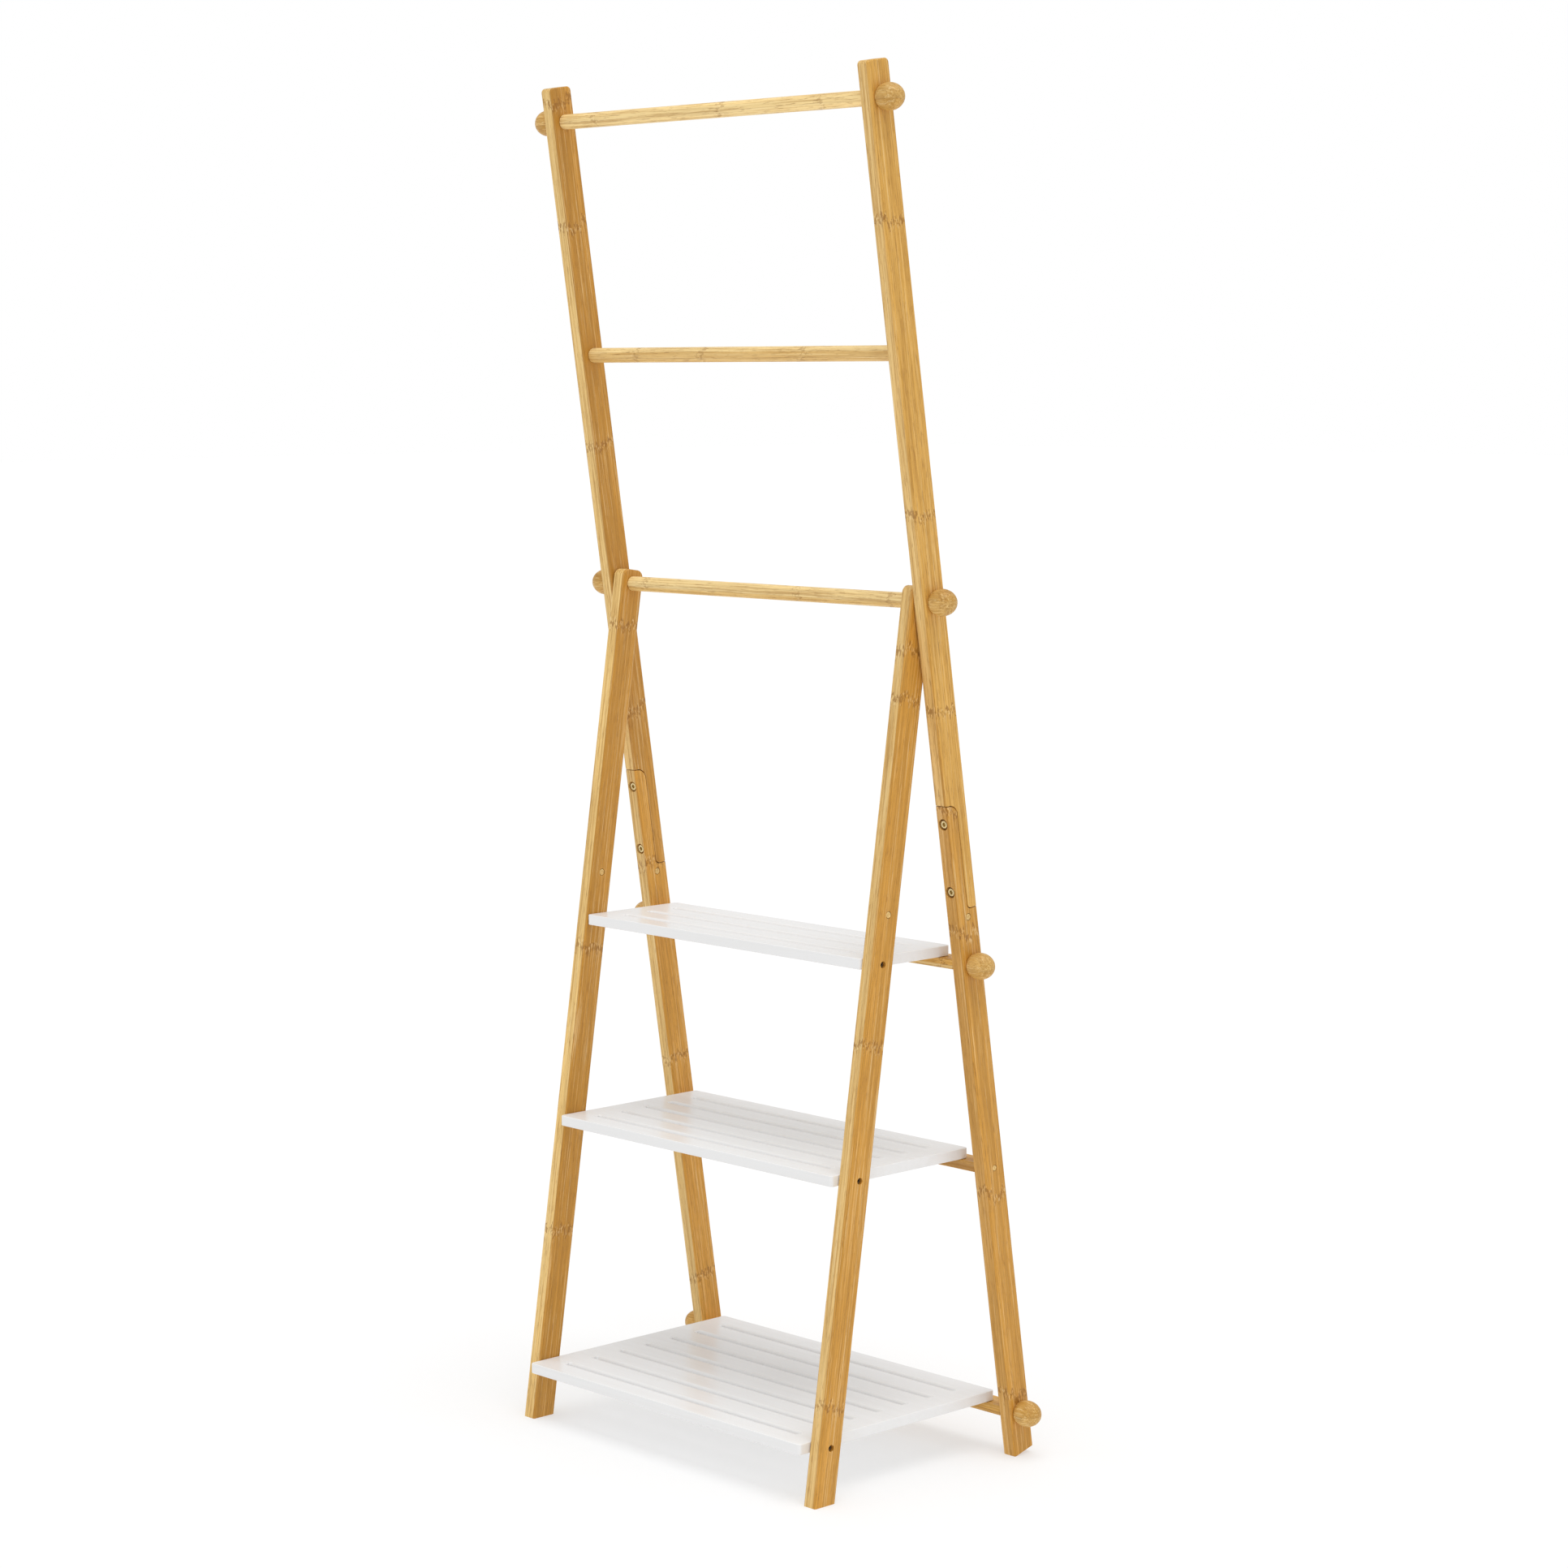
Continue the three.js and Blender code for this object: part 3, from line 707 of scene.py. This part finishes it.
def makeLowerUpright(side):
    tag = side.lower()
    at = uprightStock(tag)
    half, start = at["half"], at["lapTop"] + leg["beyond"]
    # the front edge of the foot stands on the floor
    frontFoot = (-pivot[2] + half * math.sin(lean)) / math.cos(lean)
    rearFoot = (-pivot[2] - half * math.sin(lean) + leg["footRise"]) / math.cos(lean)
    end = frontFoot - leg["beyond"]
    outline = np.array([(-half, start), (-half, end), (half, end), (half, start)])
    made = skin(f"uprightLower{side}", plateRings(outline, at["low"], at["high"], leg["edgeRound"]))
    cutters = [
        lapCutter(at, -leg["lapGap"], False),
        footCutter(-half, frontFoot, half, rearFoot, at["x"]),
        acrossHole(at, legCentre(f"rail_dowel_{tag}", "rear")[2], leg["dowelHole"]),
        plugHole(at, legCentre(f"upright_plug_{tag}", "rear")[2]),
    ]
    cutters += studHoles(at, tag, ("top_rail", "bottom_rail"))
    mouthEnd = -half + leg["counterboreDepth"]
    mouth = alongY(holeRings(-half, mouthEnd, leg["counterbore"], leg["mouthRound"]))
    through = alongY(holeRings(-half + leg["overshoot"], leg["overlap"], leg["boltHole"]))
    for along in at["bolts"]:
        cutters += [moved(mouth, x=at["x"], z=along), moved(through, x=at["x"], z=along)]
    carve(made, cutters)
    finishLeg(made, "rear_frame", f"upright_lower_{tag}", "rear", at)


def makeFrontLeg(side, sign):
    tag = side.lower()
    at = legStock(f"front_leg_{tag}", "front")
    half = at["half"]
    frontFoot = (-pivot[2] - half * math.sin(lean)) / math.cos(lean)
    rearFoot = (-pivot[2] + half * math.sin(lean)) / math.cos(lean)
    stock = [(half, rearFoot - leg["beyond"]), (half, at["top"]),
             (-half, at["top"]), (-half, frontFoot - leg["beyond"])]
    outline = roundedOutline(stock, [0, leg["frontTopRound"], leg["frontTopRound"], 0], 12)
    made = skin(f"frontLeg{side}", plateRings(outline, at["low"], at["high"], leg["edgeRound"]))
    cutters = [
        footCutter(-half, frontFoot, half, rearFoot, at["x"]),
        acrossHole(at, 0.0, leg["socketHole"]),
        plugHole(at, legCentre(f"front_leg_plug_{tag}", "front")[2]),
    ]
    outer = at["x"] + sign * at["halfX"]
    mouthEnd = outer - sign * leg["shelfBoltMouthDeep"]
    mouth = holeRings(outer, mouthEnd, leg["shelfBoltMouth"], leg["mouthRound"])
    holeEnd = outer - sign * (2 * at["halfX"] + leg["overshoot"])
    hole = holeRings(outer - sign * leg["shelfBoltHoleFrom"], holeEnd, leg["shelfBoltHole"])
    for level in levels:
        along = legCentre(f"shelf_bolt_{level.lower()}_{tag}", "front")[2]
        cutters += [moved(mouth, z=along), moved(hole, z=along)]
    carve(made, cutters)
    finishLeg(made, "front_frame", f"front_leg_{tag}", "front", at)


for side, sign in sides.items():
    makeUpperUpright(side, sign)
    makeLowerUpright(side)
    makeFrontLeg(side, sign)
print("legs made")

bar = {"radius": 0.0085, "spigot": 0.006, "edge": 0.0004, "bore": 0.0028, "boreDeep": 0.0223}
barLooks = {
    "topBar": {
        "seed": 41.0, "seam": 2.0, "tones": (cream, cream), "rings": (-190, 18.7, 175), "ringPower": 0.6,
    },
    "middleBar": {
        "seed": 47.0, "seam": -3.0, "tones": (cream, honey), "rings": (-163.8, -53.7, 110), "ringPower": 0.6,
    },
    "pivotBar": {
        "seed": 53.0, "seam": 2.4, "tones": (cream, straw), "rings": (-196, 60.9, 205), "ringPower": 0.6,
    },
}
alongX = ("Y", math.radians(90))  # grain that runs along x


# The outline of a turned bar, mirrored about its middle, as pairs of (place along x, radius). It has a
# stud bore in each end, a thinner spigot turned on each end, or both.
def barProfile(end, spigotEnd, bored):
    radius = bar["radius"] if spigotEnd == 0 else bar["spigot"]
    tip = end if spigotEnd == 0 else spigotEnd
    corners = []
    if bored:
        boreEnd = tip - bar["boreDeep"]
        corners += [(boreEnd, 0, 0), (boreEnd, bar["bore"], 0), (tip, bar["bore"], 0)]
    else:
        corners += [(tip, 0, 0)]
    corners.append((tip, radius, bar["edge"]))
    if spigotEnd:
        corners += [(end, bar["spigot"], 0), (end, bar["radius"], bar["edge"])]
    corners = np.array(corners)
    whole = np.vstack((corners * (-1, 1, 1), corners[::-1]))
    return roundedOutline(whole[:, :2], whole[:, 2], 4, closed=False)


def makeBar(name, node, end, spigotEnd, bored):
    low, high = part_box(node)
    rings = turnedRings(barProfile(end, spigotEnd, bored), 64)
    made = skin(name, moved(rings, y=(low.y + high.y) / 2, z=(low.z + high.z) / 2))
    smoothShade(made)
    centre = (low + high) / 2
    material = makeBamboo(name + "Bamboo", barLooks[name], alongX, centre)
    finishPiece(made, "rear_frame", node, material)


uprightInner = legBox("upright_upper_right", "rear")[0][0]
frontLegInner = legBox("front_leg_right", "front")[0][0]
makeBar("topBar", "top_bar", uprightInner - clear, 0, True)
makeBar("middleBar", "middle_bar", uprightInner - clear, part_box("middle_bar")[1].x, False)
makeBar("pivotBar", "pivot_bar", frontLegInner - clear, uprightInner - clear, True)

rail = {"edge": 0.0012, "endEdge": 0.0003, "bore": 0.0028, "boreDeep": 0.0223}
railLooks = {
    "railTop": {"seed": 61.0, "seam": 1.0, "tones": (amber, honey), "rings": (-120, 231)},
    "railMiddle": {"seed": 67.0, "seam": -2.0, "tones": (umber, toffee), "rings": (-60, 190)},
    "railBottom": {"seed": 73.0, "seam": 1.5, "tones": (amber, umber), "rings": (40, -215)},
}


def makeRail(level):
    name, node = f"rail{level}", f"rail_{level.lower()}"
    low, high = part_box(node)
    corners = [(low.y, low.z), (high.y, low.z), (high.y, high.z), (low.y, high.z)]
    outline = roundedOutline(corners, [rail["edge"]] * 4, 4)
    made = skin(name, plateRings(outline, low.x, high.x, rail["endEdge"], 2))
    y, z = (low.y + high.y) / 2, (low.z + high.z) / 2
    bore = rail["bore"] if level != "Middle" else leg["dowelHole"]
    cutters = [
        moved(holeRings(end, end - way * rail["boreDeep"], bore), y=y, z=z)
        for way, end in ((1, high.x), (-1, low.x))
    ]
    carve(made, cutters)
    smoothShade(made)
    material = makeBamboo(name + "Bamboo", railLooks[name], alongX, (low + high) / 2)
    finishPiece(made, "rear_frame", node, material)


for level in levels:
    makeRail(level)

knob = {
    "radius": 0.01475,
    "semiLength": 0.0175,
    "baseRadius": 0.012,
    "holeDepth": 0.013,
    "hole": 0.0028,
    "rimWidth": 0.0006,  # the edge between the flat base and the ball
    "rimHeight": 0.0003,
    "steps": 22,
}
tan = (0.65, 0.39, 0.11)
russet = (0.60, 0.335, 0.076)
knobLooks = {
    "TopBar": {"at": "top_bar", "seed": 80.0, "seam": 3.0, "tones": (tan, russet), "rings": ()},
    "PivotBar": {
        "at": "pivot_bar", "seed": 84.0, "seam": -2.0, "tones": (russet, tan), "rings": (288,),
        "ringPower": 0.5,
    },
    "TopRail": {"at": "top_rail", "seed": 88.0, "seam": 4.0, "tones": (tan, russet), "rings": ()},
    "BottomRail": {"at": "bottom_rail", "seed": 92.0, "seam": 1.0, "tones": (russet, tan), "rings": ()},
}


# A ball knob: an ellipse turned round x, cut flat where its radius is the base's, with a blind screw hole.
def makeKnob(where, side, sign):
    node = f"knob_{knobLooks[where]['at']}_{side.lower()}"
    low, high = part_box(node)
    base = low.x if sign > 0 else -high.x
    flat = math.asin(knob["baseRadius"] / knob["radius"])
    centre = base + knob["semiLength"] * math.cos(flat)
    turn = np.linspace(math.pi - flat, 0, knob["steps"])
    ball = np.column_stack((centre + knob["semiLength"] * np.cos(turn), knob["radius"] * np.sin(turn)))
    ball[-1, 1] = 0
    hole = [(base + knob["holeDepth"], 0), (base + knob["holeDepth"], knob["hole"]), (base, knob["hole"]),
            (base, knob["baseRadius"] - knob["rimWidth"])]
    ball[0, 0] += knob["rimHeight"]
    rings = turnedRings(np.vstack((hole, ball)), 56)
    if sign < 0:
        rings = rings * np.array((-1, -1, 1))
    made = skin(f"knob{where}{side}", moved(rings, y=(low.y + high.y) / 2, z=(low.z + high.z) / 2))
    smoothShade(made)
    look = dict(knobLooks[where], seed=knobLooks[where]["seed"] + sign)
    centre = (0, (low.y + high.y) / 2, (low.z + high.z) / 2)
    material = makeBamboo(made.name + "Bamboo", look, alongX, centre)
    finishPiece(made, "rear_frame", node, material)


for where in knobLooks:
    for side, sign in sides.items():
        makeKnob(where, side, sign)
print("bars, rails and knobs made")

pin = {"edge": 0.0002}
plugLook = {"seed": 101.0, "seam": 9.0, "tones": (straw, honey), "rings": ()}
plugBamboo = makeBamboo("plugBamboo", plugLook, alongX, (0, 0, 0))


# A short round pin along x, with softened ends.
def makePin(name, node, body):
    low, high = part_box(node)
    ownLow, ownHigh = legBox(node, "rear" if body == "rear_frame" else "front")
    radius = (ownHigh[1] - ownLow[1]) / 2
    corners = [(low.x, 0), (low.x, radius), (high.x, radius), (high.x, 0)]
    profile = roundedOutline(corners, [0, pin["edge"], pin["edge"], 0], 3, closed=False)
    made = skin(name, moved(turnedRings(profile, 40), y=(low.y + high.y) / 2, z=(low.z + high.z) / 2))
    smoothShade(made)
    finishPiece(made, body, node, plugBamboo)


washer = {"hole": 0.0063, "radius": 0.012, "edge": 0.0002}


def makeWasher(side):
    node = f"pivot_washer_{side.lower()}"
    low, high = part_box(node)
    hole, radius = washer["hole"], washer["radius"]
    corners = [(low.x, hole), (low.x, radius), (high.x, radius), (high.x, hole)]
    profile = roundedOutline(corners, [washer["edge"]] * 4, 3)
    rings = turnedRings(np.vstack((profile, profile[:1])), 64)
    made = ringSkin(f"pivotWasher{side}", moved(rings, y=pivot[1], z=pivot[2]))
    smoothShade(made)
    finishPiece(made, "front_frame", node, nylon)


# A bolt along x, its head towards -x, with a hexagonal socket in the head.
def boltRings(head, headLength, shank, length, across, socketDeep, edge):
    hexRadius = across / math.sqrt(3)
    cone = 0.3 * hexRadius  # the drilled point at the socket's end
    ease = 0.3 * edge
    pairs = [
        (socketDeep + cone, 0, 1),
        (socketDeep, hexRadius, 1),
        (edge, hexRadius, 1),
        (0, hexRadius + edge, 1),
        (0, head - 2 * edge, 0),
        (ease, head - edge, 0),
        (edge, head - ease, 0),
        (2 * edge, head, 0),
        (headLength - edge, head, 0),
        (headLength, head - edge, 0),
        (headLength, shank, 0),
        (length - shank / 2, shank, 0),
        (length, shank / 2, 0),
        (length, 0, 0),
    ]
    profile = np.array(pairs)
    return turnedRings(profile[:, :2], 48, profile[:, 2])


lapBolt = {"head": 0.0046, "headLength": 0.0042, "shank": 0.003, "length": 0.024, "across": 0.0042,
           "socketDeep": 0.0034, "edge": 0.0004}
shelfBolt = {"head": 0.0034, "headLength": 0.003, "shank": 0.0024, "across": 0.003,
             "socketDeep": 0.0018, "edge": 0.0003}


def makeLapBolt(which, side):
    node = f"lap_bolt_{which.lower()}_{side.lower()}"
    low, high = legBox(node, "rear")
    middle = (low + high) / 2
    rings = moved(alongY(boltRings(**lapBolt)), x=middle[0], y=low[1], z=middle[2])
    made = skin(f"lapBolt{which}{side}", rings)
    made.data.transform(legTurn("rear"))
    smoothShade(made)
    finishPiece(made, "rear_frame", node, zinc)


def makeShelfBolt(level, side, sign):
    node = f"shelf_bolt_{level.lower()}_{side.lower()}"
    low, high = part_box(node)
    rings = boltRings(length=high.x - low.x, **shelfBolt)
    # the head is outermost: turned half round z on the right side
    rings = rings * np.array((-1, -1, 1)) if sign > 0 else rings
    start = high.x if sign > 0 else low.x
    rings = moved(rings, x=start, y=(low.y + high.y) / 2, z=(low.z + high.z) / 2)
    made = skin(f"shelfBolt{level}{side}", rings)
    smoothShade(made)
    finishPiece(made, "front_frame", node, darkSteel)


for side, sign in sides.items():
    tag = side.lower()
    makePin(f"uprightPlug{side}", f"upright_plug_{tag}", "rear_frame")
    makePin(f"frontLegPlug{side}", f"front_leg_plug_{tag}", "front_frame")
    makePin(f"railDowel{side}", f"rail_dowel_{tag}", "rear_frame")
    makeWasher(side)
    for which in ("Upper", "Lower"):
        makeLapBolt(which, side)
    for level in levels:
        makeShelfBolt(level, side, sign)
for node, made in frame["nodes"].items():
    if node.startswith(("stud_", "lap_insert_")):
        made.data.materials.clear()
        made.data.materials.append(darkSteel if node.startswith("stud_") else zinc)
print("fixings made")

shelf = {
    "edge": 0.0011,
    "corner": 0.004,
    "slots": {"Top": 3, "Middle": 5, "Bottom": 7},
    "slotWidth": 0.007,
    "slotBand": 0.028,
    "slotEndBand": 0.031,
    "slotCorner": 0.0024,
    "slotLongEdge": 0.0045,  # quarter round along a slot's upper edges
    "slotInset": 0.001,  # the straight part between the rounds is this much narrower on each side
    "slotEndEdge": 0.0005,
    "slotUnderEdge": 0.0012,
    "slotOvershoot": 0.002,  # how far a slot's cutter passes each face
    "bore": 0.0027,
    "boreDeep": 0.0263,
}


# A cutter for one slot. Its outline spreads by a quarter round at both faces of the board; at the upper
# face the round's radius goes from that of the slot's ends to that of its long edges with the normal's y.
def slotRings(low, high, x, y0, y1):
    y0, y1 = y0 + shelf["slotInset"], y1 - shelf["slotInset"]
    corners = [(-x, y0), (x, y0), (x, y1), (-x, y1)]
    outline = roundedOutline(corners, [shelf["slotCorner"]] * 4, 8)
    ahead = np.roll(outline, -1, 0) - np.roll(outline, 1, 0)
    outward = np.column_stack((ahead[:, 1], -ahead[:, 0]))
    outward /= np.linalg.norm(outward, axis=1)[:, None]
    longShare = np.abs(outward[:, 1])
    upper = shelf["slotEndEdge"] + (shelf["slotLongEdge"] - shelf["slotEndEdge"]) * longShare
    under = np.full_like(upper, shelf["slotUnderEdge"])
    turn = np.linspace(0, math.pi / 2, 8)[:, None]
    early = 0.01  # share of the round by which it starts outside the face
    spread, drop = 1 - np.sin(turn), 1 - np.cos(turn) - early
    spreads = np.vstack((under[None], spread * under, (spread * upper)[::-1], upper[None]))
    beyond = np.full((1, len(outline)), shelf["slotOvershoot"])
    z = np.vstack((low - beyond, low + drop * under, (high - drop * upper)[::-1], high + beyond))
    flat = outline[None] + spreads[:, :, None] * outward[None]
    return alongZ(np.dstack((z, flat)))


def makeShelf(level):
    node = f"shelf_{level.lower()}"
    low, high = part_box(node)
    corners = [(low.x, low.y), (high.x, low.y), (high.x, high.y), (low.x, high.y)]
    outline = roundedOutline(corners, [shelf["corner"]] * 4, 8)
    made = skin(f"shelf{level}", alongZ(plateRings(outline, low.z, high.z, shelf["edge"])))
    count = shelf["slots"][level]
    pitch = (high.y - low.y - 2 * shelf["slotBand"] - shelf["slotWidth"]) / (count - 1)
    slotEnd = high.x - shelf["slotEndBand"]
    starts = low.y + shelf["slotBand"] + pitch * np.arange(count)
    cutters = [slotRings(low.z, high.z, slotEnd, y, y + shelf["slotWidth"]) for y in starts]
    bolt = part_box(f"shelf_bolt_{level.lower()}_right")
    y, z = (bolt[0].y + bolt[1].y) / 2, (bolt[0].z + bolt[1].z) / 2
    for way, end in ((1, high.x), (-1, low.x)):
        bore = holeRings(end, end - way * shelf["boreDeep"], shelf["bore"], segments=24)
        cutters.append(moved(bore, y=y, z=z))
    carve(made, cutters)
    smoothShade(made)
    finishPiece(made, f"{level.lower()}_board", node, lacquer)


for level in levels:
    makeShelf(level)
print("shelves made")

studio = {
    "floorHalf": 40.0,
    "floorColour": (0.50, 0.50, 0.50, 1),
    "floorMottle": (0.51, 0.51, 0.51, 1),
    "floorGlow": 0.46,  # the floor is a light table, so shadows on it stay faint
    "skySeen": 1.0,
    "skyLight": 0.70,
    "sunTowards": (0.215, -0.08, 0.973),
    "sunPower": 1.36,
    "sunAngle": 50,  # degrees across: a very soft light
}


def makeFloor():
    half = studio["floorHalf"]
    corners = [(-half, -half, 0), (half, -half, 0), (half, half, 0), (-half, half, 0)]
    floor = makePiece("floor", corners, [(0, 1, 2, 3)])
    material, tree, shader = newMaterial("paleFloor")
    place = addNode(tree, "ShaderNodeTexCoord").outputs["Object"]
    mottle = noise(tree, place, (1.5, 1.5, 1.5), 2.0)
    colour = blendColour(tree, mottle, studio["floorColour"], studio["floorMottle"])
    tree.links.new(colour, shader.inputs["Base Color"])
    shader.inputs["Emission Color"].default_value = (1, 1, 1, 1)
    shader.inputs["Emission Strength"].default_value = studio["floorGlow"]
    shader.inputs["Roughness"].default_value = 0.9
    shader.inputs["Specular IOR Level"].default_value = 0.0
    floor.data.materials.append(material)


def makeLight():
    world = bpy.data.worlds.new("studio")
    scene.world = world
    world.use_nodes = True
    tree = world.node_tree
    background = tree.nodes["Background"]
    background.inputs["Color"].default_value = (1, 1, 1, 1)
    seen = addNode(tree, "ShaderNodeLightPath").outputs["Is Camera Ray"]
    strength = calc(tree, "MULTIPLY_ADD", seen, studio["skySeen"] - studio["skyLight"], studio["skyLight"])
    tree.links.new(strength, background.inputs["Strength"])
    data = bpy.data.lights.new("softSun", "SUN")
    data.energy = studio["sunPower"]
    data.angle = math.radians(studio["sunAngle"])
    lamp = bpy.data.objects.new("softSun", data)
    lamp.rotation_mode = "QUATERNION"
    lamp.rotation_quaternion = Vector(studio["sunTowards"]).to_track_quat("Z", "Y")
    scene.collection.objects.link(lamp)


cameraPlace = {
    "spot": (2.9688, -2.7870, 1.2171),
    "yaw": 46.499,  # degrees to the left of straight back
    "pitch": -6.508,
    "roll": -0.154,
    "lens": 83.24,
}


def makeCamera():
    data = bpy.data.cameras.new("camera")
    data.lens = cameraPlace["lens"]
    data.sensor_width = 36
    data.clip_start = 0.1
    data.clip_end = 100
    camera = bpy.data.objects.new("camera", data)
    scene.collection.objects.link(camera)
    turn = Matrix.Rotation(math.radians(cameraPlace["yaw"]), 4, "Z")
    turn = turn @ Matrix.Rotation(math.radians(90 + cameraPlace["pitch"]), 4, "X")
    turn = turn @ Matrix.Rotation(math.radians(cameraPlace["roll"]), 4, "Z")
    camera.matrix_world = Matrix.Translation(cameraPlace["spot"]) @ turn
    scene.camera = camera


makeFloor()
makeLight()
makeCamera()
scene.view_settings.view_transform = "Standard"
print("studio ready")
